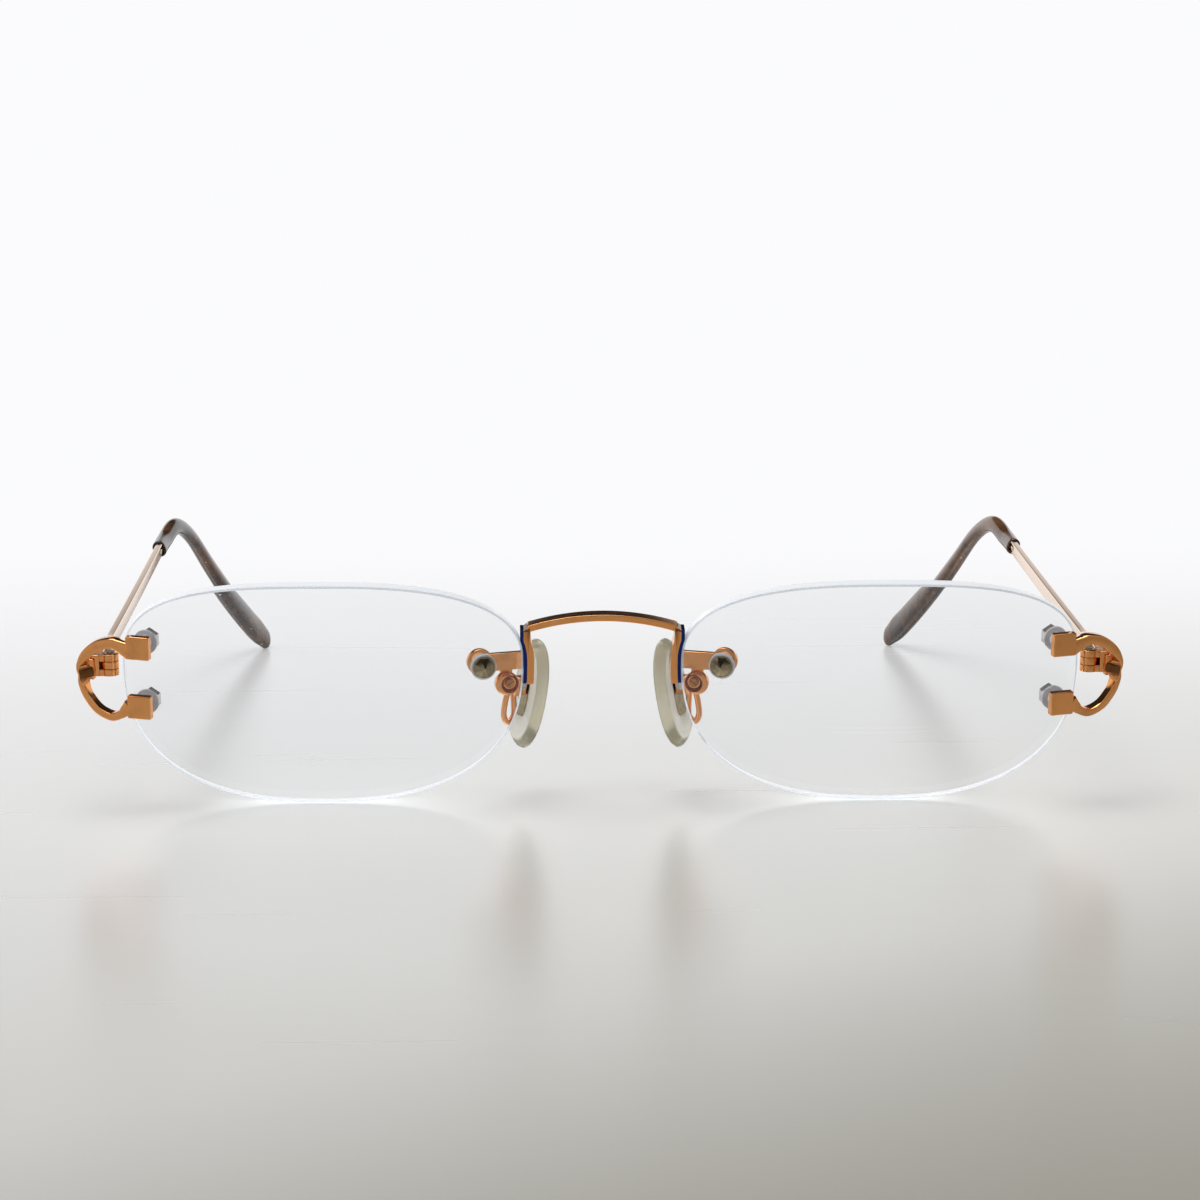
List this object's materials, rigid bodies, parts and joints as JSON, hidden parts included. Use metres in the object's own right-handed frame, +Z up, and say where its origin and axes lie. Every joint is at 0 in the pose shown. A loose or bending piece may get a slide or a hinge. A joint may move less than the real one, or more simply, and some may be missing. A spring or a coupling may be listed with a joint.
{
  "type": "reading glasses",
  "caption": "Rimless reading glasses with clear lenses, rose-gold open-fork endpieces, an arched bridge, rocking nose pads and folding temples with brown ear tips.",
  "frame": {"origin": "centre of the bounding box in plan, on the surface that the lens bottoms and ear tips stand on", "axes": "+X to the wearer's left, +Y from the lenses to the ear tips, +Z up"},
  "size_m": [0.1358, 0.1244, 0.0291],
  "materials": {
    "rose_gold": "polished rose-gold plating",
    "steel": "polished",
    "dark_bronze": "dark satin",
    "lens_clear": "clear, polished",
    "nylon_clear": "clear",
    "silicone": "soft, translucent",
    "ear_tip_brown": "glossy dark brown"
  },
  "bodies": {
    "front": {"bridge_bar": "rose_gold", "left_bridge_strap": "rose_gold", "left_endpiece_fork": "rose_gold", "left_front_hinge_leaf": "rose_gold", "left_hinge_screw": "dark_bronze", "left_lens": "lens_clear", "left_lower_stud_bush": "nylon_clear", "left_lower_stud_nut": "steel", "left_lower_stud_washer": "steel", "left_nasal_bush": "nylon_clear", "left_nasal_screw": "dark_bronze", "left_pad_arm": "rose_gold", "left_pad_arm_screw": "rose_gold", "left_pad_pin": "steel", "left_upper_stud_bush": "nylon_clear", "left_upper_stud_nut": "steel", "left_upper_stud_washer": "steel", "right_bridge_strap": "rose_gold", "right_endpiece_fork": "rose_gold", "right_front_hinge_leaf": "rose_gold", "right_hinge_screw": "dark_bronze", "right_lens": "lens_clear", "right_lower_stud_bush": "nylon_clear", "right_lower_stud_nut": "steel", "right_lower_stud_washer": "steel", "right_nasal_bush": "nylon_clear", "right_nasal_screw": "dark_bronze", "right_pad_arm": "rose_gold", "right_pad_arm_screw": "rose_gold", "right_pad_pin": "steel", "right_upper_stud_bush": "nylon_clear", "right_upper_stud_nut": "steel", "right_upper_stud_washer": "steel"},
    "left_temple": {"left_ear_tip": "ear_tip_brown", "left_temple": "rose_gold", "left_temple_hinge_leaf": "rose_gold"},
    "right_temple": {"right_ear_tip": "ear_tip_brown", "right_temple": "rose_gold", "right_temple_hinge_leaf": "rose_gold"},
    "left_pad": {"left_nose_pad": "silicone", "left_pad_core": "dark_bronze"},
    "right_pad": {"right_nose_pad": "silicone", "right_pad_core": "dark_bronze"}
  },
  "joints": [
    {"name": "left_temple_fold", "type": "hinge", "parent": "front", "child": "left_temple", "pos_m": [0.0636, -0.05464, 0.01777], "axis": [0, -0.0847, 0.9964], "range_deg": [0, 84]},
    {"name": "right_temple_fold", "type": "hinge", "parent": "front", "child": "right_temple", "pos_m": [-0.0636, -0.05464, 0.01777], "axis": [0, 0.0847, -0.9964], "range_deg": [0, 73]},
    {"name": "left_pad_rock", "type": "hinge", "parent": "front", "child": "left_pad", "pos_m": [0.0109, -0.0521, 0.01445], "axis": [0.5299, 0.8401, 0.1159], "range_deg": [-8, 8]},
    {"name": "right_pad_rock", "type": "hinge", "parent": "front", "child": "right_pad", "pos_m": [-0.0109, -0.0521, 0.01445], "axis": [-0.5299, 0.8401, 0.1159], "range_deg": [-8, 8]}
  ]
}
